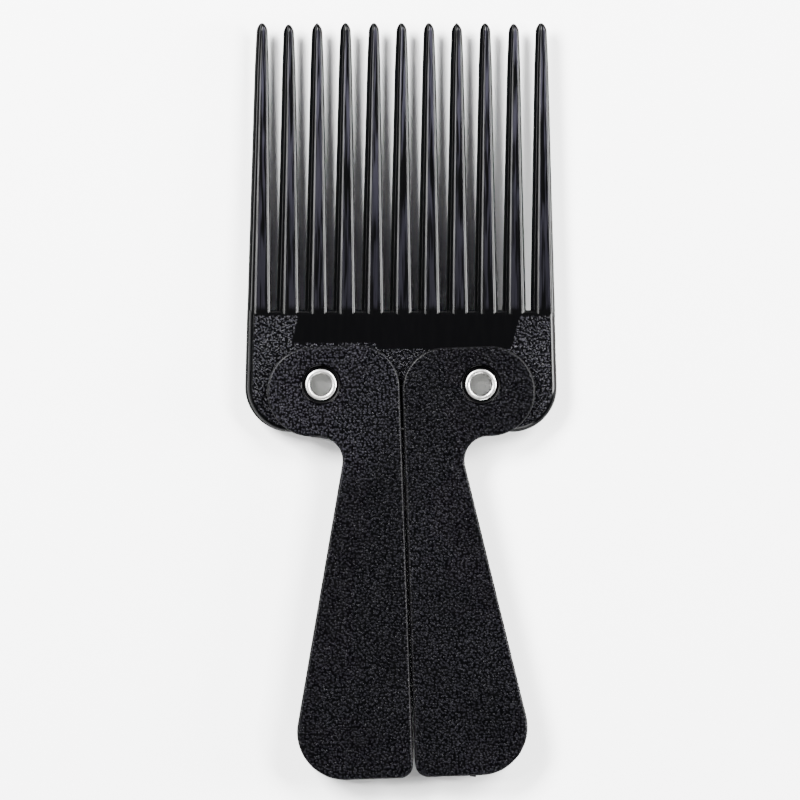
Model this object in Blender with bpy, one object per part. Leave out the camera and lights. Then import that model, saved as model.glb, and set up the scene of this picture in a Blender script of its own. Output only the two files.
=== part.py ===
# A folding afro comb: a head with eleven tapered teeth and two hollow handles, each
# turning on a metal eyelet. It lies on its back with both handles swung open.
# X runs across the head, Y runs from the handles to the tips of the teeth, and Z is up.

import math

import bmesh
import bpy

MM = 0.001

# Thickness, from the surface below to the front faces
WALL = 1.8 * MM
RUNNING_GAP = 0.3 * MM
HEAD_THICKNESS = 3.8 * MM
TOTAL_THICKNESS = 2 * WALL + 2 * RUNNING_GAP + HEAD_THICKNESS
MID_Z = TOTAL_THICKNESS / 2

# Hinges
PIVOT_X = 20.0 * MM
PIVOT_Y = 4.15 * MM
HANDLE_SWING_DEG = 2.0

# Head plate, measured from the line through both pivots
HEAD_HALF_WIDTH = 38.72 * MM
HEAD_BOTTOM = 11.85 * MM
SLOT_ROOT = 19.4 * MM
SIDE_TAPER = 0.0267
HEAD_CORNER = 11.3 * MM
RIM_BEVEL = 1.35 * MM
ROOT_BEVEL = 1.6 * MM
RIM_SIDE = 0.6 * MM

# The front half of the head moulding sits a little to the right of the back half
MOULD_SHIFT = 0.3 * MM
PARTING_STEP = 0.05 * MM

# Teeth
TOOTH_COUNT = 11
PITCH_ROOT = 7.07 * MM
PITCH_TIP = 6.96 * MM
TIP_REACH = 90.55 * MM
ROOT_WIDTH = 5.85 * MM
TIP_WIDTH = 2.75 * MM
TIP_ROUNDING = 1.5 * MM
ROOT_HALF_THICKNESS = 1.85 * MM
TIP_HALF_THICKNESS = 1.1 * MM
FLANK = 0.85 * MM
TOOTH_EMBED = 3.0 * MM
OUTER_EXTRA = 0.2 * MM  # the two outermost teeth are this much wider, on their outer sides

# Handles, measured from the handle's own pivot; X is positive towards the straight edge
LENGTH_LEFT = 99.0 * MM
LENGTH_RIGHT = 97.6 * MM
STRAIGHT_EDGE = 19.7 * MM
SPINE = 0.9 * MM
SPINE_START = 13.2 * MM
END_WALL = 1.6 * MM
SLANT = 0.2076
SLANT_OFFSET = 8.8 * MM
LOBE_RADIUS = 11.25 * MM
LOBE_CENTRE = (-2.3 * MM, -1.7 * MM)
INNER_CORNER = 10.5 * MM
NECK_RADIUS = 6.0 * MM
END_OUTER_RADIUS = 11.5 * MM
END_INNER_RADIUS = 3.3 * MM
EDGE_ROUNDING = 1.3 * MM
SLOT_CORNER = 2.0 * MM
NUB_WIDTH = 1.9 * MM
NUB_DEPTH = 0.55 * MM
NUB_OFFSET = 13.5 * MM

# Eyelets
HOLE_RADIUS = 3.3 * MM
COUNTERBORE_RADIUS = 4.75 * MM
COUNTERBORE_DEPTH = 0.9 * MM
BARREL_OUTER = 3.0 * MM
BARREL_INNER = 2.65 * MM
FLANGE_RADIUS = 3.9 * MM
FLANGE_THICKNESS = 0.5 * MM
FLANGE_RECESS = 0.1 * MM
FLANGE_CROWN = 0.2 * MM

ROUND_STEPS = 48
CUT_MARGIN = 5 * MM


def arc(centre, radius, start_deg, end_deg, steps):
    points = []
    for i in range(steps + 1):
        angle = math.radians(start_deg + (end_deg - start_deg) * i / steps)
        points.append((centre[0] + radius * math.cos(angle), centre[1] + radius * math.sin(angle)))
    return points


def plastic(name, colour, roughness):
    material = bpy.data.materials.new(name)
    material.use_nodes = True
    shader = material.node_tree.nodes["Principled BSDF"]
    shader.inputs["Base Color"].default_value = (*colour, 1.0)
    shader.inputs["Roughness"].default_value = roughness
    shader.inputs["Metallic"].default_value = 0.0
    return material


def plated_metal(name, colour, roughness):
    material = plastic(name, colour, roughness)
    material.node_tree.nodes["Principled BSDF"].inputs["Metallic"].default_value = 1.0
    return material


def add_object(name, bm, material=None):
    bmesh.ops.recalc_face_normals(bm, faces=bm.faces)
    mesh = bpy.data.meshes.new(name)
    bm.to_mesh(mesh)
    bm.free()
    if material:
        mesh.materials.append(material)
    part = bpy.data.objects.new(name, mesh)
    bpy.context.scene.collection.objects.link(part)
    return part


def as_guide(part):
    part.hide_render = True
    part.display_type = "WIRE"
    return part


def prism(outline, bottom, top):
    bm = bmesh.new()
    floor = bm.faces.new([bm.verts.new((x, y, bottom)) for x, y in outline])
    raised = bmesh.ops.extrude_face_region(bm, geom=[floor])["geom"]
    verts = [item for item in raised if isinstance(item, bmesh.types.BMVert)]
    bmesh.ops.translate(bm, verts=verts, vec=(0, 0, top - bottom))
    return bm


def loft(bm, rings):
    loops = [[bm.verts.new(point) for point in ring] for ring in rings]
    for lower, upper in zip(loops, loops[1:]):
        for i, vert in enumerate(lower):
            j = (i + 1) % len(lower)
            bm.faces.new((vert, lower[j], upper[j], upper[i]))
    bm.faces.new(list(reversed(loops[0])))
    bm.faces.new(loops[-1])


def turned(profile, closed):
    bm = bmesh.new()
    verts = [bm.verts.new((radius, 0, height)) for radius, height in profile]
    edges = [bm.edges.new(pair) for pair in zip(verts, verts[1:])]
    if closed:
        edges.append(bm.edges.new((verts[-1], verts[0])))
    bmesh.ops.spin(bm, geom=verts + edges, cent=(0, 0, 0), axis=(0, 0, 1), angle=math.tau,
                   steps=ROUND_STEPS, use_merge=True)
    bmesh.ops.remove_doubles(bm, verts=bm.verts, dist=0.000001)
    return bm


def boolean(part, other, operation):
    modifier = part.modifiers.new(f"{operation.lower()} {other.name}", "BOOLEAN")
    modifier.object = other
    modifier.operation = operation
    modifier.solver = "EXACT"


def shade_round(part, angle_deg=35):
    part.data.shade_smooth()
    part.data.set_sharp_from_angle(angle=math.radians(angle_deg))


# Head

def head_outline(inset, root_inset):
    # Seen from the front, counter-clockwise from the upper right corner
    corner = HEAD_CORNER - inset
    side = HEAD_HALF_WIDTH - inset
    corner_y = HEAD_CORNER - HEAD_BOTTOM
    top_y = SLOT_ROOT - root_inset
    top_side = side - SIDE_TAPER * (top_y - corner_y)
    left = arc((-side + corner, corner_y), corner, 180, 270, 12)
    right = arc((side - corner, corner_y), corner, 270, 360, 12)
    return [(top_side, top_y), (-top_side, top_y)] + left + right


def head_plate():
    half = HEAD_THICKNESS / 2
    levels = (
        (-half, RIM_BEVEL, ROOT_BEVEL, -MOULD_SHIFT),
        (-RIM_SIDE, 0, 0, -MOULD_SHIFT),
        (-PARTING_STEP, 0, 0, -MOULD_SHIFT),
        (PARTING_STEP, 0, 0, MOULD_SHIFT),
        (RIM_SIDE, 0, 0, MOULD_SHIFT),
        (half, RIM_BEVEL, ROOT_BEVEL, MOULD_SHIFT),
    )
    rings = []
    for height, inset, root_inset, shift in levels:
        outline = head_outline(inset, root_inset)
        rings.append([(x + shift, y + PIVOT_Y, MID_Z + height) for x, y in outline])
    bm = bmesh.new()
    loft(bm, rings)
    return bm


def tooth_section(centre, y, width, half_thickness):
    # Hexagonal, with a small step at the parting line between the two mould halves
    side = width / 2 - MOULD_SHIFT
    crest = max(side - FLANK * min(1, side / (2 * FLANK)), side * 0.4)
    edge = half_thickness * RIM_SIDE / ROOT_HALF_THICKNESS
    front = [(-side, PARTING_STEP), (-side, edge), (-crest, half_thickness),
             (crest, half_thickness), (side, edge), (side, PARTING_STEP)]
    back = [(x, -z) for x, z in reversed(front)]
    shifted = [(x + MOULD_SHIFT, z) for x, z in front] + [(x - MOULD_SHIFT, z) for x, z in back]
    return [(centre + x, y, MID_Z + z) for x, z in shifted]


def tooth_rings(number):
    reach = TIP_REACH - SLOT_ROOT
    outer = number * 2 / (TOOTH_COUNT - 1) if abs(number) * 2 == TOOTH_COUNT - 1 else 0
    from_tip = [TIP_ROUNDING * (1 - math.cos(math.radians(angle))) for angle in (0, 25, 45, 65, 90)]
    from_tip += [reach * share for share in (0.13, 0.5, 1)]
    rings = []
    for distance in from_tip + [reach + TOOTH_EMBED]:
        share = min(distance / reach, 1)
        pitch = PITCH_TIP + (PITCH_ROOT - PITCH_TIP) * share
        width = TIP_WIDTH + (ROOT_WIDTH - TIP_WIDTH) * share
        thickness = TIP_HALF_THICKNESS + (ROOT_HALF_THICKNESS - TIP_HALF_THICKNESS) * share
        short = max(0, 1 - distance / TIP_ROUNDING)
        blunt = 0.42 + 0.58 * math.sqrt(1 - short * short)
        slim = 1 - 0.13 * max(0, 1 - distance / (0.13 * reach))
        y = PIVOT_Y + TIP_REACH - distance
        centre = number * pitch + outer * OUTER_EXTRA / 2
        width = (width + abs(outer) * OUTER_EXTRA) * blunt * slim
        rings.append(tooth_section(centre, y, width, thickness * blunt))
    return rings


def make_head(material):
    head = add_object("comb_head", head_plate(), material)
    bm = bmesh.new()
    for i in range(TOOTH_COUNT):
        loft(bm, tooth_rings(i - (TOOTH_COUNT - 1) / 2))
    boolean(head, as_guide(add_object("teeth", bm)), "UNION")
    for side in (-1, 1):
        profile = [(0, -CUT_MARGIN), (HOLE_RADIUS, -CUT_MARGIN),
                   (HOLE_RADIUS, TOTAL_THICKNESS + CUT_MARGIN), (0, TOTAL_THICKNESS + CUT_MARGIN)]
        bore = as_guide(add_object("head_bore", turned(profile, False)))
        bore.location = (side * PIVOT_X, PIVOT_Y, 0)
        boolean(head, bore, "DIFFERENCE")
    shade_round(head, 25)


# Handles

def handle_outline(length):
    # Counter-clockwise for the left handle: end, straight edge, lobe, neck, slanted edge
    normal = math.hypot(1, SLANT)
    slant_deg = math.degrees(math.atan(SLANT))
    top = LOBE_CENTRE[1] + LOBE_RADIUS
    neck_y = LOBE_CENTRE[1] - LOBE_RADIUS - NECK_RADIUS
    neck_x = SLANT_OFFSET - normal * NECK_RADIUS + SLANT * neck_y
    outer_y = END_OUTER_RADIUS - length
    outer_x = SLANT_OFFSET + normal * END_OUTER_RADIUS + SLANT * outer_y
    inner = (STRAIGHT_EDGE - END_INNER_RADIUS, END_INNER_RADIUS - length)
    points = arc(inner, END_INNER_RADIUS, -90, 0, 6)
    points += arc((STRAIGHT_EDGE - INNER_CORNER, top - INNER_CORNER), INNER_CORNER, 0, 90, 12)
    points += arc(LOBE_CENTRE, LOBE_RADIUS, 90, 270, 24)
    points += arc((neck_x, neck_y), NECK_RADIUS, 90, -slant_deg, 12)
    points += arc((outer_x, outer_y), END_OUTER_RADIUS, 180 - slant_deg, 270, 12)
    return points


def slot_outline(length):
    reach = LOBE_RADIUS + CUT_MARGIN
    inner = STRAIGHT_EDGE - SPINE
    end = END_WALL - length
    far = STRAIGHT_EDGE + CUT_MARGIN
    corner = arc((inner - SLOT_CORNER, end + SLOT_CORNER), SLOT_CORNER, -90, 0, 6)
    return [(-far, end)] + corner + [(inner, -SPINE_START), (far, -SPINE_START), (far, reach), (-far, reach)]


def handed(outline, side):
    # The right handle is the left one mirrored
    return outline if side < 0 else [(-x, y) for x, y in reversed(outline)]


def make_handle(name, side, length, material):
    bm = prism(handed(handle_outline(length), side), 0, TOTAL_THICKNESS)
    rims = [edge for edge in bm.edges if abs(edge.verts[0].co.z - edge.verts[1].co.z) < 0.000001]
    bmesh.ops.bevel(bm, geom=rims, offset=EDGE_ROUNDING, offset_type="OFFSET", segments=4,
                    profile=0.5, affect="EDGES", material=-1)
    handle = add_object(name, bm, material)

    slot = as_guide(add_object(f"{name}_slot", prism(handed(slot_outline(length), side), WALL,
                                                     TOTAL_THICKNESS - WALL)))
    profile = [(0, -CUT_MARGIN), (COUNTERBORE_RADIUS, -CUT_MARGIN),
               (COUNTERBORE_RADIUS, COUNTERBORE_DEPTH), (HOLE_RADIUS, COUNTERBORE_DEPTH)]
    profile += [(radius, TOTAL_THICKNESS - height) for radius, height in reversed(profile)]
    bore = as_guide(add_object(f"{name}_bore", turned(profile, False)))
    for cutter in (slot, bore):
        boolean(handle, cutter, "DIFFERENCE")
        cutter.parent = handle
    if side > 0:
        # A little gate mark stands on the end of the right handle
        x = NUB_OFFSET - STRAIGHT_EDGE
        nub = [(x, -length + WALL / 2), (x, -length - NUB_DEPTH * 0.4),
               (x + NUB_WIDTH * 0.8, -length - NUB_DEPTH), (x + NUB_WIDTH, -length + WALL / 2)]
        gate = as_guide(add_object(f"{name}_gate", prism(nub, MID_Z - NUB_WIDTH / 2, MID_Z + NUB_WIDTH / 2)))
        gate.parent = handle
        boolean(handle, gate, "UNION")
    shade_round(handle, 30)
    handle.location = (side * PIVOT_X, PIVOT_Y, 0)
    handle.rotation_euler = (0, 0, math.radians(HANDLE_SWING_DEG))


# Eyelets

def make_eyelet(name, side, material):
    low = FLANGE_RECESS
    lip = BARREL_INNER + (FLANGE_RADIUS - BARREL_INNER) * 0.45
    lower = [
        (BARREL_INNER, low + FLANGE_THICKNESS),
        (BARREL_INNER + FLANGE_CROWN * 0.4, low + FLANGE_CROWN * 0.6),
        (lip - FLANGE_CROWN, low),
        (lip + FLANGE_CROWN, low),
        (FLANGE_RADIUS - FLANGE_CROWN * 0.5, low + FLANGE_CROWN * 0.6),
        (FLANGE_RADIUS, low + FLANGE_THICKNESS * 0.7),
        (FLANGE_RADIUS - FLANGE_CROWN * 0.4, low + FLANGE_THICKNESS),
        (BARREL_OUTER, low + FLANGE_THICKNESS),
    ]
    profile = lower + [(radius, TOTAL_THICKNESS - height) for radius, height in reversed(lower)]
    eyelet = add_object(name, turned(profile, True), material)
    shade_round(eyelet, 50)
    eyelet.location = (side * PIVOT_X, PIVOT_Y, 0)


for old in list(bpy.data.objects):
    bpy.data.objects.remove(old, do_unlink=True)

head_black = plastic("head_black_plastic", (0.011, 0.010, 0.014), 0.28)
left_black = plastic("left_handle_black_plastic", (0.016, 0.015, 0.021), 0.5)
right_black = plastic("right_handle_black_plastic", (0.016, 0.015, 0.021), 0.5)
left_nickel = plated_metal("left_eyelet_nickel", (0.72, 0.71, 0.69), 0.2)
right_nickel = plated_metal("right_eyelet_nickel", (0.72, 0.71, 0.69), 0.2)

make_head(head_black)
make_handle("handle_left", -1, LENGTH_LEFT, left_black)
make_handle("handle_right", 1, LENGTH_RIGHT, right_black)
make_eyelet("eyelet_left", -1, left_nickel)
make_eyelet("eyelet_right", 1, right_nickel)
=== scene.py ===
import math
import bmesh
import bpy
from mathutils import Matrix, Vector


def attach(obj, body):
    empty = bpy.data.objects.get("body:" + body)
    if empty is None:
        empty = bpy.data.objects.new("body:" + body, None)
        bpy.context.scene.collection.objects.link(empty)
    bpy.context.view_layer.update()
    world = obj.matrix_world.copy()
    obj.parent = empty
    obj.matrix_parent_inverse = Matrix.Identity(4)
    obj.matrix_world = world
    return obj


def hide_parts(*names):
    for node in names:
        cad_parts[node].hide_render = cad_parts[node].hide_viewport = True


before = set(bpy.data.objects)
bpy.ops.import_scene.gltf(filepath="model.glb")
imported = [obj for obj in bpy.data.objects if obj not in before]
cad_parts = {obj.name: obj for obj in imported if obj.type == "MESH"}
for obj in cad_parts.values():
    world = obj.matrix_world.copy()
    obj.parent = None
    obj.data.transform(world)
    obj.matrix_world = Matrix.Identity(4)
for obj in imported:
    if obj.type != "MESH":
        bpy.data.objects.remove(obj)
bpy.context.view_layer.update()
mm = 0.001


# shared sizes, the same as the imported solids; every size in this script is in millimetres
# unless its note says metres
comb = {
    "pivotX": 20.0,
    "pivotY": 4.15,
    "thickness": 8.0,
    "headThickness": 3.8,
    "wall": 1.8,
    "swing": 2.0,          # degrees that both handles lean at rest
    "roundSteps": 72,      # steps of a round cut
}
midZ = comb["thickness"] / 2


def moved(bm, x, y, z=0.0):
    bmesh.ops.translate(bm, vec=(x, y, z), verts=bm.verts)


def mirrored(bm, signs):
    bmesh.ops.scale(bm, vec=signs, verts=bm.verts)
    bmesh.ops.reverse_faces(bm, faces=bm.faces)


def plainCorner(x, y):
    return (x, y, 0, 0, 0, 0)


def arcOutline(bm, arcs, z):
    # each arc is centre x, centre y, radius, start angle, sweep, steps; straight edges join them
    ends = []
    for cx, cy, radius, start, sweep, steps in arcs:
        angle = math.radians(start)
        first = bm.verts.new((cx + radius * math.cos(angle), cy + radius * math.sin(angle), z))
        if not radius:
            ends.append((first, first))
            continue
        turned = bmesh.ops.spin(bm, geom=[first], cent=(cx, cy, z), axis=(0, 0, 1),
                                angle=math.radians(sweep), steps=steps, use_duplicate=False)
        last = [g for g in turned["geom_last"] if isinstance(g, bmesh.types.BMVert)][0]
        ends.append((first, last))
    for (_, last), (first, _) in zip(ends, ends[1:] + ends[:1]):
        bm.edges.new((last, first))
    face = bmesh.ops.contextual_create(bm, geom=bm.edges[:])["faces"][0]
    face.normal_update()
    if face.normal.z < 0:
        face.normal_flip()
    return face


def raised(bm, face, height):
    # pull a face up and hand back the new top face
    result = bmesh.ops.extrude_face_region(bm, geom=[face])["geom"]
    lifted = [g for g in result if isinstance(g, bmesh.types.BMVert)]
    bmesh.ops.translate(bm, vec=(0, 0, height), verts=lifted)
    bm.normal_update()
    return [g for g in result if isinstance(g, bmesh.types.BMFace)][0]


def softened(bm, edges, offset, segments):
    bmesh.ops.bevel(bm, geom=edges, offset=offset, offset_type="OFFSET", segments=segments,
                    profile=0.5, affect="EDGES", material=-1, clamp_overlap=True)


def pieceFrom(name, bm, scale=mm):
    bmesh.ops.recalc_face_normals(bm, faces=bm.faces)
    bmesh.ops.scale(bm, vec=(scale, scale, scale), verts=bm.verts)
    mesh = bpy.data.meshes.new(name)
    bm.to_mesh(mesh)
    bm.free()
    piece = bpy.data.objects.new(name, mesh)
    bpy.context.scene.collection.objects.link(piece)
    return piece


def smoothed(piece, angle, weighted=True):
    piece.data.shade_smooth()
    piece.data.set_sharp_from_angle(angle=math.radians(angle))
    if weighted:
        flat = piece.modifiers.new("flatFaces", "WEIGHTED_NORMAL")
        flat.mode = "FACE_AREA"
        flat.weight = 50
        flat.keep_sharp = True


def joined(piece, others):
    # the other pieces' meshes go into the piece's own
    whole = bmesh.new()
    for part in [piece] + others:
        whole.from_mesh(part.data)
    whole.to_mesh(piece.data)
    whole.free()
    for other in others:
        mesh = other.data
        bpy.data.objects.remove(other, do_unlink=True)
        bpy.data.meshes.remove(mesh)


def cutAway(piece, cutters):
    # the cutters go again once the cut is in the mesh
    for cutter in cutters:
        cut = piece.modifiers.new("cut", "BOOLEAN")
        cut.operation = "DIFFERENCE"
        cut.solver = "EXACT"
        cut.object = cutter
    bpy.context.view_layer.update()
    graph = bpy.context.evaluated_depsgraph_get()
    cutMesh = bpy.data.meshes.new_from_object(piece.evaluated_get(graph))
    piece.modifiers.clear()
    old = piece.data
    piece.data = cutMesh
    cutMesh.name = piece.name
    bpy.data.meshes.remove(old)
    for cutter in cutters:
        bpy.data.objects.remove(cutter, do_unlink=True)


def lathed(bm, profile, steps, closed=False):
    # spin a profile of radii and heights; the seam and the poles are merged
    verts = [bm.verts.new((radius, 0, z)) for radius, z in profile]
    edges = [bm.edges.new(pair) for pair in zip(verts, verts[1:])]
    if closed:
        edges.append(bm.edges.new((verts[-1], verts[0])))
    bmesh.ops.spin(bm, geom=verts + edges, cent=(0, 0, 0), axis=(0, 0, 1), angle=math.tau,
                   steps=steps, use_merge=True)
    bmesh.ops.remove_doubles(bm, verts=bm.verts, dist=0.0005)


def nodesOf(name):
    material = bpy.data.materials.new(name)
    material.use_nodes = True
    tree = material.node_tree
    return material, tree, tree.nodes["Principled BSDF"]


def add(tree, kind, **values):
    node = tree.nodes.new(kind)
    for key, value in values.items():
        if key in node.inputs:
            node.inputs[key].default_value = value
        else:
            setattr(node, key, value)
    return node


def math2(tree, operation, a, b=None):
    node = tree.nodes.new("ShaderNodeMath")
    node.operation = operation
    for socket, value in zip(node.inputs, (a, b)):
        if value is None:
            continue
        if isinstance(value, (int, float)):
            socket.default_value = value
        else:
            tree.links.new(value, socket)
    return node.outputs[0]


def ramp(tree, value, low, high, outLow=0.0, outHigh=1.0, smooth=True):
    node = tree.nodes.new("ShaderNodeMapRange")
    node.interpolation_type = "SMOOTHSTEP" if smooth else "LINEAR"
    tree.links.new(value, node.inputs["Value"])
    node.inputs["From Min"].default_value = low
    node.inputs["From Max"].default_value = high
    node.inputs["To Min"].default_value = outLow
    node.inputs["To Max"].default_value = outHigh
    return node.outputs["Result"]


def rampMm(tree, length, ends, outLow=0.0, outHigh=1.0, smooth=True):
    # a ramp over a length, its two ends given in millimetres
    return ramp(tree, length, ends[0] * mm, ends[1] * mm, outLow, outHigh, smooth)


def noise(tree, vector, scale, detail=2.0, roughness=0.5):
    node = add(tree, "ShaderNodeTexNoise", Scale=scale, Detail=detail, Roughness=roughness)
    tree.links.new(vector, node.inputs["Vector"])
    return node.outputs["Fac"]


def spread(tree, cloud, outLow, outHigh):
    # a noise lies mostly between 0.3 and 0.7
    return ramp(tree, cloud, 0.3, 0.7, outLow, outHigh)


def blendColours(tree, factor, first, second):
    # a colour is a triple, or the output of an earlier blend
    node = tree.nodes.new("ShaderNodeMix")
    node.data_type = "RGBA"
    tree.links.new(factor, node.inputs[0])
    for socket, colour in ((node.inputs[6], first), (node.inputs[7], second)):
        if isinstance(colour, tuple):
            socket.default_value = (*colour, 1)
        else:
            tree.links.new(colour, socket)
    return node.outputs[2]


def stretched(tree, vector, scale):
    node = tree.nodes.new("ShaderNodeMapping")
    tree.links.new(vector, node.inputs["Vector"])
    node.inputs["Scale"].default_value = scale
    return node.outputs["Vector"]


def coordinates(tree):
    coords = tree.nodes.new("ShaderNodeTexCoord")
    split = tree.nodes.new("ShaderNodeSeparateXYZ")
    tree.links.new(coords.outputs["Object"], split.inputs[0])
    return coords.outputs["Object"], split.outputs[0], split.outputs[1], split.outputs[2]


def offMiddle(tree, z):
    # how far a point lies above or below the comb's middle plane
    return math2(tree, "ABSOLUTE", math2(tree, "SUBTRACT", z, midZ * mm))


pebbleShape = {
    "melt": 0.25,                            # how far neighbours melt together
    "wander": 0.9, "wanderScale": 1.3,       # how far, in pebbles, the rows wander, and how often
    "foot": 0.52, "crown": 0.10,             # distances from a pebble's middle, in pebbles
    "patchScale": 0.7, "patchLow": 0.36, "patchHigh": 0.62,
}


def pebbleHeight(tree, vector, size, uneven):
    # close pebbles about 'size' metres apart on a face, some of them lower than others
    p = pebbleShape
    cells = tree.nodes.new("ShaderNodeTexVoronoi")
    cells.voronoi_dimensions = "2D"
    cells.feature = "SMOOTH_F1"
    cells.inputs["Scale"].default_value = 1.0 / size
    cells.inputs["Smoothness"].default_value = p["melt"]
    bent = tree.nodes.new("ShaderNodeVectorMath")
    bent.operation = "MULTIPLY_ADD"
    drift = add(tree, "ShaderNodeTexNoise", Scale=p["wanderScale"] / size, Detail=1.0)
    tree.links.new(vector, drift.inputs["Vector"])
    tree.links.new(drift.outputs["Color"], bent.inputs[0])
    bent.inputs[1].default_value = (p["wander"] * size, p["wander"] * size, 0.0)
    tree.links.new(vector, bent.inputs[2])
    tree.links.new(bent.outputs[0], cells.inputs["Vector"])
    patches = noise(tree, vector, p["patchScale"] / size, roughness=0.6)
    dots = ramp(tree, cells.outputs["Distance"], p["foot"], p["crown"])
    strength = ramp(tree, patches, p["patchLow"], p["patchHigh"], 1.0 - uneven, 1.0)
    return math2(tree, "MULTIPLY", dots, strength)


def plasticLook(tree, shader, finish, colour, rough, height):
    bump = add(tree, "ShaderNodeBump", Strength=1.0, Distance=finish["depth"] * mm)
    tree.links.new(height, bump.inputs["Height"])
    tree.links.new(bump.outputs["Normal"], shader.inputs["Normal"])
    tree.links.new(colour, shader.inputs["Base Color"])
    tree.links.new(rough, shader.inputs["Roughness"])
    shader.inputs["IOR"].default_value = 1.5
    shader.inputs["Specular IOR Level"].default_value = finish["shine"]


def aroundPivot(tree, x, y, side):
    # the distance from the axis of the left (-1) or right (1) eyelet
    dx = math2(tree, "SUBTRACT", x, side * comb["pivotX"] * mm)
    dy = math2(tree, "SUBTRACT", y, comb["pivotY"] * mm)
    squares = math2(tree, "ADD", math2(tree, "POWER", dx, 2.0), math2(tree, "POWER", dy, 2.0))
    return math2(tree, "SQRT", squares)


handleFinish = {
    "grain": 0.62, "depth": 0.05, "uneven": 0.55,
    # the second colour is the painted glint on the pebble tops
    "dark": (0.0003, 0.0003, 0.0004), "glint": (0.0128, 0.0123, 0.0158),
    # how strongly the pebble tops are painted lighter near and far from the eyelet; the left handle's lighter
    # patch round its eyelet is painted sheen
    "glintsAndSheen": ((1.0, 0.46), (0.48, 0.53)),     # left and right: near the eyelet, far from it
    "sheenEnds": (14.0, 30.0),                # where near ends and far starts
    "cloudScale": 90.0, "cloudLow": 0.7,
    "seatEdge": (4.9, 5.3), "seatPolish": 0.3,
    "faceEdge": (3.50, 3.94), "edgeGrain": 0.15,
    "roundEdge": (3.96, 3.75), "roundRough": 0.36,
    "shine": 0.065,
    "roughScale": 420.0, "roughLow": 0.25, "roughHigh": 0.33,
}


def handleBlack(name, side):
    s = handleFinish
    material, tree, shader = nodesOf(name)
    vector, x, y, z = coordinates(tree)
    radius = aroundPivot(tree, x, y, side)
    level = offMiddle(tree, z)
    # no grain in the seat of the eyelet, and little on the rounded edges
    offSeat = rampMm(tree, radius, s["seatEdge"])
    onFace = rampMm(tree, level, s["faceEdge"], s["edgeGrain"], 1.0)
    grained = math2(tree, "MULTIPLY", offSeat, onFace)
    pebbles = pebbleHeight(tree, vector, s["grain"] * mm, s["uneven"])
    # the tops of the pebbles are painted lighter, as painted glints, in soft patches
    cloud = spread(tree, noise(tree, vector, s["cloudScale"]), s["cloudLow"], 1.0)
    glintsAndSheen = math2(tree, "MULTIPLY", math2(tree, "MULTIPLY", pebbles, cloud), grained)
    # the left handle is painted lighter round its eyelet, as painted sheen
    glintsAndSheen = math2(tree, "MULTIPLY", glintsAndSheen, rampMm(tree, radius, s["sheenEnds"], *s["glintsAndSheen"][side > 0]))
    # the seat is smoother than the face, and the rounded edges are duller
    rough = spread(tree, noise(tree, vector, s["roughScale"]), s["roughLow"], s["roughHigh"])
    rough = math2(tree, "ADD", rough, rampMm(tree, level, s["roundEdge"], 0.0, s["roundRough"]))
    polish = rampMm(tree, radius, s["seatEdge"][::-1], 0.0, s["seatPolish"])
    plasticLook(tree, shader, s,
                colour=blendColours(tree, glintsAndSheen, s["dark"], s["glint"]),
                rough=math2(tree, "SUBTRACT", rough, polish),
                height=math2(tree, "MULTIPLY", pebbles, grained))
    return material


headFinish = {
    "grain": 0.58, "depth": 0.12, "uneven": 0.85,
    # the second colour is the painted glint on the pebble tops
    "dark": (0.0008, 0.0008, 0.0009), "glint": (0.0130, 0.0125, 0.0163),
    # the streak colour is painted sheen on the tooth crests
    "streak": (0.0130, 0.0123, 0.0172),
    # the grained plate: its upper edge, its sides inside the rim, its faces
    "rootEdge": (21.5, 21.2), "rimMiddle": 0.3, "rimEdge": (37.7, 37.3), "faceEdge": (1.82, 1.88),
    # the plain band in it
    "bandLeft": -27.0, "bandRight": 28.0, "bandBottom": 14.5, "bandSoft": 0.4,
    "bandLean": 0.28, "bandLeanFrom": 15.3, "bandDip": 1.5, "bandDipEnds": (-6.8, -5.4),
    # the streaks of painted sheen on the tooth crests
    "flowScale": 900.0, "flowStretch": 0.05, "flowHeight": 0.12,
    "threadScale": 2300.0, "threadStretch": 0.035, "threadLow": 0.86, "threadHigh": 1.16,
    "streakStart": (22.5, 24.5), "streakGrowth": (30.0, 85.0), "streakRoot": 0.3,
    "toothStart": 23.5, "crestLow": 0.80, "crestHigh": 0.95,
    "shine": 0.065,
    "roughScale": 700.0, "roughStretch": 0.2, "roughLow": 0.12, "roughHigh": 0.20,
}


def grainedPlate(tree, x, y, level):
    # under the roots of the teeth, inside the rim, and not on the plain band
    s = headFinish
    belowTeeth = rampMm(tree, y, s["rootEdge"])
    side = math2(tree, "ABSOLUTE", math2(tree, "SUBTRACT", x, s["rimMiddle"] * mm))
    side = math2(tree, "ADD", side, math2(tree, "MULTIPLY", y, head["taper"]))
    insideRim = rampMm(tree, side, s["rimEdge"])
    fromLean = math2(tree, "SUBTRACT", y, s["bandLeanFrom"] * mm)
    across = math2(tree, "SUBTRACT", x, math2(tree, "MULTIPLY", fromLean, s["bandLean"]))
    right = rampMm(tree, across, (s["bandRight"], s["bandRight"] + s["bandSoft"]))
    left = rampMm(tree, across, (s["bandLeft"], s["bandLeft"] - s["bandSoft"]))
    # the band reaches lower from the middle to the right
    dip = rampMm(tree, x, s["bandDipEnds"], 0.0, s["bandDip"] * mm)
    soft = s["bandSoft"] / 2
    under = rampMm(tree, math2(tree, "ADD", y, dip), (s["bandBottom"] + soft, s["bandBottom"] - soft))
    offBand = math2(tree, "MAXIMUM", math2(tree, "MAXIMUM", right, left), under)
    grained = math2(tree, "MULTIPLY", belowTeeth, insideRim)
    grained = math2(tree, "MULTIPLY", grained, offBand)
    return math2(tree, "MULTIPLY", grained, rampMm(tree, level, s["faceEdge"]))


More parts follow.
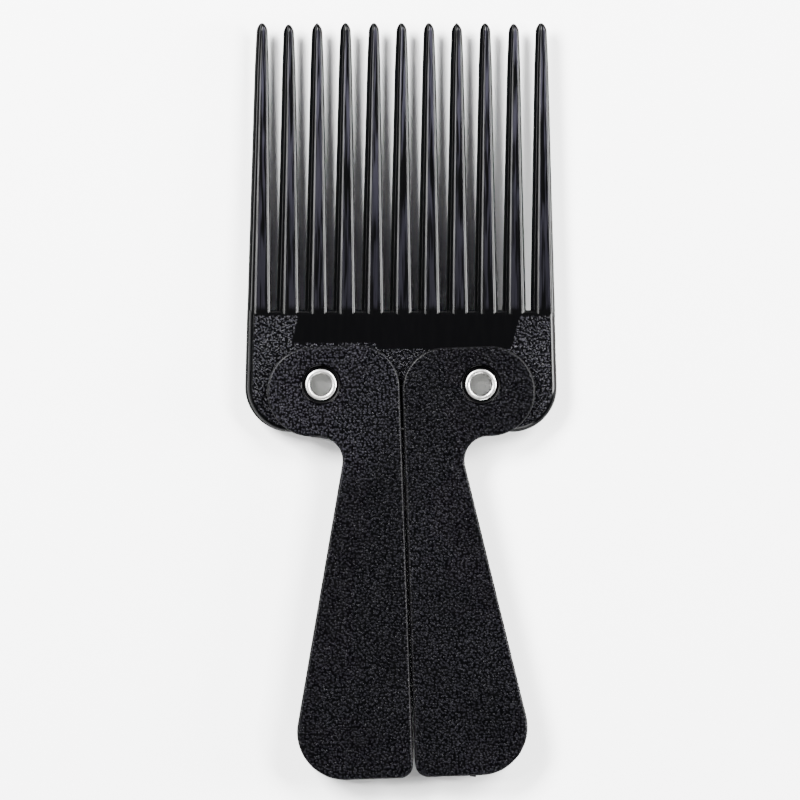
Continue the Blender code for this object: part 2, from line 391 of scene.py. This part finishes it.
def toothCrest(tree, y, level):
    # the crests of the teeth, more of them towards the tips, where the streaks of painted sheen go
    s = headFinish
    tipY = comb["pivotY"] + head["tipReach"]
    halfThickness = rampMm(tree, y, (s["toothStart"], tipY), head["rootHalf"] * mm, head["tipHalf"] * mm,
                           smooth=False)
    crest = ramp(tree, math2(tree, "DIVIDE", level, halfThickness), s["crestLow"], s["crestHigh"])
    onTeeth = math2(tree, "MULTIPLY", rampMm(tree, y, s["streakStart"]),
                    rampMm(tree, y, s["streakGrowth"], s["streakRoot"], 1.0))
    return math2(tree, "MULTIPLY", onTeeth, crest)


def headBlack(name):
    s = headFinish
    material, tree, shader = nodesOf(name)
    vector, x, y, z = coordinates(tree)
    level = offMiddle(tree, z)
    grained = grainedPlate(tree, x, y, level)
    pebbles = pebbleHeight(tree, vector, s["grain"] * mm, s["uneven"])
    # the pebble tops are painted lighter, as painted glints; the same pebbles also raise the bump
    speckle = math2(tree, "MULTIPLY", pebbles, grained)
    # streaks of painted sheen along the tooth crests, standing in for reflections of the lamps
    flow = noise(tree, stretched(tree, vector, (1.0, s["flowStretch"], 1.0)), s["flowScale"], roughness=0.6)
    thread = noise(tree, stretched(tree, vector, (1.0, s["threadStretch"], 1.0)), s["threadScale"], detail=1.0)
    crestSheen = ramp(tree, math2(tree, "ADD", flow, thread), s["threadLow"], s["threadHigh"])
    crestSheen = math2(tree, "MULTIPLY", crestSheen, toothCrest(tree, y, level))
    toned = blendColours(tree, crestSheen, s["dark"], s["streak"])
    drawn = noise(tree, stretched(tree, vector, (1.0, s["roughStretch"], 1.0)), s["roughScale"])
    plasticLook(tree, shader, s,
                colour=blendColours(tree, speckle, toned, s["glint"]),
                rough=spread(tree, drawn, s["roughLow"], s["roughHigh"]),
                height=math2(tree, "ADD", speckle, math2(tree, "MULTIPLY", flow, s["flowHeight"])))
    return material


metalFinish = {
    # the inside colour is painted shade in the bore and on the flange's inner lip, up to boreEdge
    "bright": (0.70, 0.69, 0.67), "dull": (0.50, 0.49, 0.47), "inside": (0.28, 0.28, 0.27),
    "boreEdge": (2.84, 2.76),
    "ringScale": 9000.0, "ringDepth": 0.01, "ringStrength": 0.5,
    "stainScale": 700.0, "stainLow": 0.45, "stainHigh": 0.75,
    "dullLow": 0.35, "dullHigh": 0.7, "roughLow": 0.30, "roughHigh": 0.44,
}


def nickel(name, side):
    s = metalFinish
    material, tree, shader = nodesOf(name)
    vector, x, y, _ = coordinates(tree)
    radius = aroundPivot(tree, x, y, side)
    stain = noise(tree, vector, s["stainScale"], detail=3.0, roughness=0.6)
    # the bore and the inner lip of the flange are painted darker, as painted shade
    inside = rampMm(tree, radius, s["boreEdge"])
    plated = blendColours(tree, ramp(tree, stain, s["stainLow"], s["stainHigh"]), s["bright"], s["dull"])
    tree.links.new(blendColours(tree, inside, plated, s["inside"]), shader.inputs["Base Color"])
    rough = ramp(tree, stain, s["dullLow"], s["dullHigh"], s["roughLow"], s["roughHigh"])
    tree.links.new(rough, shader.inputs["Roughness"])
    shader.inputs["Metallic"].default_value = 1.0
    # fine rings left by the die that rolled the flange
    rings = add(tree, "ShaderNodeTexNoise", noise_dimensions="1D", Scale=s["ringScale"], Detail=2.0)
    tree.links.new(radius, rings.inputs["W"])
    bump = add(tree, "ShaderNodeBump", Strength=s["ringStrength"], Distance=s["ringDepth"] * mm)
    tree.links.new(rings.outputs["Fac"], bump.inputs["Height"])
    tree.links.new(bump.outputs["Normal"], shader.inputs["Normal"])
    return material


# measured from the left handle's pivot, before it leans; the right one is its mirror image
handle = {
    "lengthLeft": 99.0, "lengthRight": 97.6,
    "straight": 19.7, "spine": 0.9, "spineStart": 13.2, "endWall": 1.6,
    "slant": 0.2076, "slantOffset": 8.8,
    "lobe": 11.25, "lobeX": -2.3, "lobeY": -1.7,
    "innerCorner": 10.5, "neck": 6.0, "endOuter": 12.0, "endInner": 3.3,
    "rounding": 0.65, "hole": 3.3, "seat": 4.75, "seatDepth": 0.9, "slotCorner": 2.0,
    "clearSide": 25.0, "clearTop": 16.0, "clearSeat": 3.0,     # the cutters reach past the handle
    "gateX": 6.2, "gateWidth": 1.9, "gateDepth": 0.55, "gateShallow": 0.22, "gateSlope": 0.38, "gateEase": 0.12,
    "smoothAngle": 30,
}


def handleArcs(length):
    # from the inner end up the straight edge, round the lobe and the neck, down the slanting side
    h = handle
    normal = math.hypot(1, h["slant"])
    lean = math.degrees(math.atan(h["slant"]))
    top = h["lobeY"] + h["lobe"]
    neckY = h["lobeY"] - h["lobe"] - h["neck"]
    neckX = h["slantOffset"] - normal * h["neck"] + h["slant"] * neckY
    outerY = h["endOuter"] - length
    outerX = h["slantOffset"] + normal * h["endOuter"] + h["slant"] * outerY
    return [
        (h["straight"] - h["endInner"], h["endInner"] - length, h["endInner"], -90, 90, 10),
        (h["straight"] - h["innerCorner"], top - h["innerCorner"], h["innerCorner"], 0, 90, 24),
        (h["lobeX"], h["lobeY"], h["lobe"], 90, 180, 48),
        (neckX, neckY, h["neck"], 90, -90 - lean, 24),
        (outerX, outerY, h["endOuter"], 180 - lean, 90 + lean, 24),
    ]


def slotCutter(length):
    # the room between the walls, open along the slanting side and at the lobe
    h = handle
    inner = h["straight"] - h["spine"]
    end = h["endWall"] - length
    corner = h["slotCorner"]
    bm = bmesh.new()
    face = arcOutline(bm, [
        plainCorner(-h["clearSide"], end),
        (inner - corner, end + corner, corner, -90, 90, 8),
        plainCorner(inner, -h["spineStart"]),
        plainCorner(h["clearSide"], -h["spineStart"]),
        plainCorner(h["clearSide"], h["clearTop"]),
        plainCorner(-h["clearSide"], h["clearTop"]),
    ], comb["wall"])
    raised(bm, face, comb["thickness"] - 2 * comb["wall"])
    return bm


def seatCutter():
    # the eyelet's counterbored seat on both faces, its rim eased
    seat, depth, clear = handle["seat"], handle["seatDepth"], handle["clearSeat"]
    rim = [(0.0, -clear), (seat + 0.3, -clear), (seat + 0.3, -0.02), (seat + 0.18, 0.04), (seat + 0.06, 0.14),
           (seat, 0.3), (seat, depth - 0.25), (seat - 0.08, depth - 0.08), (seat - 0.25, depth),
           (handle["hole"], depth)]
    bm = bmesh.new()
    lathed(bm, rim + [(r, comb["thickness"] - z) for r, z in reversed(rim)], comb["roundSteps"])
    return bm


def gateMark(length):
    # the stub that the gate left on the end
    h = handle
    left = h["gateX"] - h["gateWidth"]
    inside = comb["wall"] / 2 - length
    bm = bmesh.new()
    face = arcOutline(bm, [
        plainCorner(h["gateX"], inside),
        plainCorner(h["gateX"], -length - h["gateShallow"]),
        plainCorner(left + h["gateSlope"], -length - h["gateDepth"]),
        plainCorner(left, inside),
    ], midZ - h["gateWidth"] / 2)
    raised(bm, face, h["gateWidth"])
    softened(bm, bm.edges[:], h["gateEase"], 2)
    return bm


def placed(bm, side):
    # from the handle's own pivot to where it lies at rest, the right one mirrored
    if side > 0:
        mirrored(bm, (-1, 1, 1))
    lean = Matrix.Rotation(math.radians(comb["swing"]), 3, "Z")
    bmesh.ops.rotate(bm, cent=(0, 0, 0), matrix=lean, verts=bm.verts)
    moved(bm, side * comb["pivotX"], comb["pivotY"])
    return bm


def makeHandle(name, side, length):
    h = handle
    bm = bmesh.new()
    face = arcOutline(bm, handleArcs(length), 0)
    raised(bm, face, comb["thickness"])
    rims = [e for e in bm.edges if abs(e.verts[0].co.z - e.verts[1].co.z) < 0.001]
    softened(bm, rims, h["rounding"], 6)
    piece = pieceFrom(name, placed(bm, side))
    slot = pieceFrom("slotCutter", placed(slotCutter(length), side))
    seat = pieceFrom("seatCutter", placed(seatCutter(), side))
    cutAway(piece, [slot, seat])
    if side > 0:     # only the right handle shows the mark
        joined(piece, [pieceFrom("gateMark", placed(gateMark(length), side))])
    smoothed(piece, h["smoothAngle"])
    piece.data.materials.clear()
    piece.data.materials.append(handleBlack(name + "Black", side))
    return piece


# measured from the height of the pivots, halfway between them
head = {
    "halfWidth": 38.71, "bottom": 11.85, "slotRoot": 18.6, "taper": 0.0267, "corner": 11.3,
    "rimRoll": 1.2, "rimSteps": 8, "rimSteep": 54, "rimFlat": 31,     # slopes in degrees
    "mouldShift": 0.3, "toothShift": 0.45, "easeBack": 0.45, "easeFront": 0.12,
    "bore": 3.3, "boreLow": -5.0, "boreHigh": 12.0,
    "teeth": 11, "pitchRoot": 7.07, "pitchTip": 6.96, "tipReach": 90.55, "embed": 2.6,
    "rootWidth": 5.8, "tipWidth": 2.7, "outerExtra": 0.2,
    "rootHalf": 1.87, "tipHalf": 1.1, "domeRoot": 2.4, "domeTip": 2.0,
    "domeSteps": 18, "easeSteps": 5, "easeMost": 0.4,     # the ease is at most this share of a section
    # sections up the tooth as shares of its length, then round the tip in degrees
    "sections": (0, 0.25, 0.5, 0.7, 0.85, 0.93), "tipSections": (0, 18, 34, 48, 60, 70, 79, 86),
    "tipRounding": 2.1, "tipEnd": 0.06, "bluntPower": 0.58, "sharpPower": 0.9,
    "slimFrom": 0.13, "slimBy": 0.13,     # the last share of the length is slimmer, by this share
    # for each tooth from the left: what it lacks in length, whether it is sharp, how far it leans
    "tipShort": (0, 0.38, 0, 0, 0, 0, 0, 0, 0.05, 0.2, 0),
    "tipSharp": (0, 0, 1, 0, 0, 0, 0, 1, 0, 0, 0),
    "tipSide": (0.1, -0.3, -0.15, 0, 0.15, 0.1, 0, 0, 0.15, 0.35, 0.15),
    "smoothAngle": 38,
}


def between(first, last, share):
    return first + (last - first) * share


def halfPlate(front):
    # one half of the moulding, from the parting line to its face
    c = head
    half = comb["headThickness"] / 2
    cornerY = c["corner"] - c["bottom"]
    topSide = c["halfWidth"] - c["taper"] * (c["slotRoot"] - cornerY)
    bm = bmesh.new()
    face = arcOutline(bm, [
        (-c["halfWidth"] + c["corner"], cornerY, c["corner"], 180, 90, 24),
        (c["halfWidth"] - c["corner"], cornerY, c["corner"], 270, 90, 24),
        plainCorner(topSide, c["slotRoot"]),
        plainCorner(-topSide, c["slotRoot"]),
    ], 0)
    # the rim turns from a steep slope to a flatter one and meets the face at a crease
    width = c["rimRoll"] / c["rimSteps"]
    tilts = [between(c["rimSteep"], c["rimFlat"], (step + 0.5) / c["rimSteps"])
             for step in range(c["rimSteps"])]
    rises = [width * math.tan(math.radians(tilt)) for tilt in tilts]
    top = raised(bm, face, half - sum(rises))
    for rise in rises:
        bmesh.ops.inset_region(bm, faces=[top], thickness=width, depth=rise, use_even_offset=True)
    parting = [e for e in bm.edges if all(abs(v.co.z) < 0.001 for v in e.verts)]
    if front:
        softened(bm, parting, c["easeFront"], 4)
    else:
        softened(bm, parting, c["easeBack"], 1)
        mirrored(bm, (1, 1, -1))
    moved(bm, c["mouldShift"] if front else -c["mouldShift"], comb["pivotY"], midZ)
    return bm


def toothSection(width, half, dome, eased, corner):
    # half of a domed section standing on the parting line; the ease is rounded by 'corner' points
    c = head
    side = width / 2 - c["mouldShift"] * min(1, width / 2)     # both halves together make the width
    ease = min(eased, side * c["easeMost"], half * c["easeMost"])
    points = []
    for step in range(corner):
        angle = math.radians(-90 - 90 * step / c["easeSteps"])
        points.append((-side + ease + ease * math.cos(angle), ease + ease * math.sin(angle)))
    for step in range(c["domeSteps"] + 1):
        angle = math.pi - math.pi * step / c["domeSteps"]
        across = math.copysign(abs(math.cos(angle)) ** (2 / dome), math.cos(angle))
        points.append((side * across, ease + (half - ease) * math.sin(angle) ** (2 / dome)))
    return points + [(-x, z) for x, z in reversed(points[:corner])]


def halfTooth(index, front):
    # the section is lofted from inside the plate to the domed tip
    c = head
    number = index - (c["teeth"] - 1) / 2
    outer = {0: -1, c["teeth"] - 1: 1}.get(index, 0)     # the outermost teeth are a little wider
    # the outermost teeth carry on the plate's chamfer at the back
    ease, corner = (c["easeBack"], 1) if outer and not front else (c["easeFront"], c["easeSteps"])
    shift = c["toothShift"] if front else -c["mouldShift"]
    reach = c["tipReach"] - c["slotRoot"] - c["tipShort"][index]
    stations = [-c["embed"]] + [reach * share for share in c["sections"]]
    stations += [reach - c["tipRounding"] * (1 - math.sin(math.radians(turn))) for turn in c["tipSections"]]
    power = c["sharpPower"] if c["tipSharp"][index] else c["bluntPower"]
    bm = bmesh.new()
    loops = []
    for along in stations:
        fromTip = reach - along
        share = min(max(fromTip / reach, 0), 1)     # 0 at the tip, 1 at the root
        short = max(0, 1 - fromTip / c["tipRounding"])
        blunt = between(c["tipEnd"], 1, max(0, 1 - short * short) ** power)
        slim = 1 - c["slimBy"] * max(0, 1 - fromTip / (c["slimFrom"] * reach))
        width = between(c["tipWidth"], c["rootWidth"], share) + abs(outer) * c["outerExtra"]
        thickness = between(c["tipHalf"], c["rootHalf"], share)
        dome = between(c["domeTip"], c["domeRoot"], share)
        bend = c["tipSide"][index] * (1 - share) ** 2 + outer * c["outerExtra"] / 2
        middle = number * between(c["pitchTip"], c["pitchRoot"], share) + bend + shift * blunt
        section = toothSection(width * blunt * slim, thickness * blunt, dome, ease, corner)
        ring = [bm.verts.new((middle + x, c["slotRoot"] + along, z)) for x, z in section]
        loops.append([bm.edges.new(pair) for pair in zip(ring, ring[1:] + ring[:1])])
    for lower, upper in zip(loops, loops[1:]):
        bmesh.ops.bridge_loops(bm, edges=lower + upper)
    bmesh.ops.contextual_create(bm, geom=loops[0])
    bmesh.ops.contextual_create(bm, geom=loops[-1])
    if not front:
        mirrored(bm, (1, 1, -1))
    moved(bm, 0, comb["pivotY"], midZ)
    return bm


def makeHead():
    halves = []
    for front in (True, False):
        plate = pieceFrom("plate", halfPlate(front))
        cutters = []
        for side in (-1, 1):
            bore = bmesh.new()
            low, high = head["boreLow"], head["boreHigh"]
            lathed(bore, [(0, low), (head["bore"], low), (head["bore"], high), (0, high)], comb["roundSteps"])
            moved(bore, side * comb["pivotX"], comb["pivotY"])
            cutters.append(pieceFrom("bore", bore))
        cutAway(plate, cutters)
        halves.append(plate)
    teeth = [pieceFrom("tooth", halfTooth(index, front))
             for index in range(head["teeth"]) for front in (True, False)]
    piece = pieceFrom("combHead", bmesh.new())
    joined(piece, teeth + halves)
    smoothed(piece, head["smoothAngle"])
    piece.data.materials.clear()
    piece.data.materials.append(headBlack("headBlack"))
    return piece


eyelet = {"barrelOut": 3.0, "barrelIn": 2.74, "flange": 3.9, "thick": 0.5, "recess": 0.1, "steps": 96,
          "smoothAngle": 60}


def makeEyelet(name, side):
    # the lower half's profile runs up inside the barrel, round the rolled flange and back to the barrel
    e = eyelet
    bore, barrel, flange, low = e["barrelIn"], e["barrelOut"], e["flange"], e["recess"]
    mid = (bore + flange) / 2
    under = low + e["thick"]
    lower = [(bore, low + 1.3), (bore, low + 0.62), (bore + 0.03, low + 0.38), (bore + 0.12, low + 0.18),
             (bore + 0.28, low + 0.05), (mid - 0.12, low), (mid + 0.15, low), (flange - 0.22, low + 0.05),
             (flange - 0.07, low + 0.15), (flange, low + 0.3), (flange - 0.05, low + 0.44),
             (flange - 0.18, under), (barrel + 0.1, under), (barrel, under + 0.12)]
    bm = bmesh.new()
    lathed(bm, lower + [(r, comb["thickness"] - z) for r, z in reversed(lower)], e["steps"], closed=True)
    moved(bm, side * comb["pivotX"], comb["pivotY"])
    piece = pieceFrom(name, bm)
    smoothed(piece, e["smoothAngle"], weighted=False)
    piece.data.materials.append(nickel(name + "Nickel", side))
    return piece


combHead = makeHead()
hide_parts("comb_head")
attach(combHead, "head")
print("comb head made")

leftHandle = makeHandle("leftHandle", -1, handle["lengthLeft"])
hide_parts("handle_left")
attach(leftHandle, "left_handle")
rightHandle = makeHandle("rightHandle", 1, handle["lengthRight"])
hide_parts("handle_right")
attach(rightHandle, "right_handle")
print("handles made")

leftEyelet = makeEyelet("leftEyelet", -1)
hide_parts("eyelet_left")
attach(leftEyelet, "head")
rightEyelet = makeEyelet("rightEyelet", 1)
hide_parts("eyelet_right")
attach(rightEyelet, "head")
print("eyelets made")


# in metres, but for the camera's sensor
studio = {
    "tableColour": (0.90, 0.90, 0.90), "tableRough": 0.75, "tableShine": 0.2, "tableSize": 3.0,
    "worldColour": (0.85, 0.88, 1.0), "worldStrength": 0.05,
    "cameraHeight": 2.2, "faceHeight": 0.007, "viewWidth": 0.2, "lookX": -0.00022, "lookY": 0.0003,
    "sensor": 36.0, "farthest": 20.0,
}

lights = {
    # azimuth and elevation in degrees, distance, width, height, radiance, colour
    "keyLeft": (171, 49, 1.0, 0.09, 0.36, 84.0, (1.0, 1.0, 1.0)),
    "fillLeft": (140, 41, 1.0, 0.50, 0.27, 146.0, (1.0, 1.0, 1.0)),
    "midRight": (6, 38, 1.2, 0.16, 0.12, 200.0, (1.0, 1.0, 1.0)),
    "topRight": (38, 40, 1.2, 0.62, 0.34, 80.0, (1.0, 1.0, 1.0)),
    "rimRight": (2, 14, 1.3, 0.4, 0.28, 150.0, (1.0, 1.0, 1.0)),
    "lowFront": (-75, 14, 1.3, 0.8, 0.20, 40.0, (1.0, 1.0, 1.0)),
    "topLeft": (132, 70, 1.3, 0.6, 0.45, 0.5, (0.92, 0.93, 1.0)),
}


def makeStudio():
    s = studio
    bm = bmesh.new()
    bmesh.ops.create_grid(bm, x_segments=1, y_segments=1, size=s["tableSize"] / 2)
    table = pieceFrom("table", bm, 1.0)
    material, _, shader = nodesOf("whiteTable")
    shader.inputs["Base Color"].default_value = (*s["tableColour"], 1)
    shader.inputs["Roughness"].default_value = s["tableRough"]
    shader.inputs["Specular IOR Level"].default_value = s["tableShine"]
    table.data.materials.append(material)

    world = bpy.data.worlds.new("studio")
    bpy.context.scene.world = world
    world.use_nodes = True
    background = world.node_tree.nodes["Background"]
    background.inputs["Color"].default_value = (*s["worldColour"], 1)
    background.inputs["Strength"].default_value = s["worldStrength"]

    for name, (azimuth, elevation, distance, width, height, radiance, colour) in lights.items():
        around = math.radians(azimuth)
        up = math.radians(elevation)
        toLight = (math.cos(around) * math.cos(up), math.sin(around) * math.cos(up), math.sin(up))
        place = Vector(toLight) * distance
        data = bpy.data.lights.new(name, "AREA")
        data.shape = "RECTANGLE"
        data.size = width
        data.size_y = height
        data.energy = radiance * math.pi * width * height
        data.color = colour
        lamp = bpy.data.objects.new(name, data)
        bpy.context.scene.collection.objects.link(lamp)
        lamp.location = place
        lamp.rotation_euler = (-place).to_track_quat("-Z", "Y").to_euler()

    # straight above, as the photograph; the view is this wide at the height of the comb's face
    data = bpy.data.cameras.new("camera")
    data.sensor_width = s["sensor"]
    data.lens = s["sensor"] * s["cameraHeight"] / s["viewWidth"]
    data.clip_end = s["farthest"]
    camera = bpy.data.objects.new("camera", data)
    camera.location = (s["lookX"], s["lookY"], s["cameraHeight"] + s["faceHeight"])
    camera.rotation_euler = (0, 0, 0)
    bpy.context.scene.collection.objects.link(camera)
    bpy.context.scene.camera = camera


makeStudio()
print("studio set")
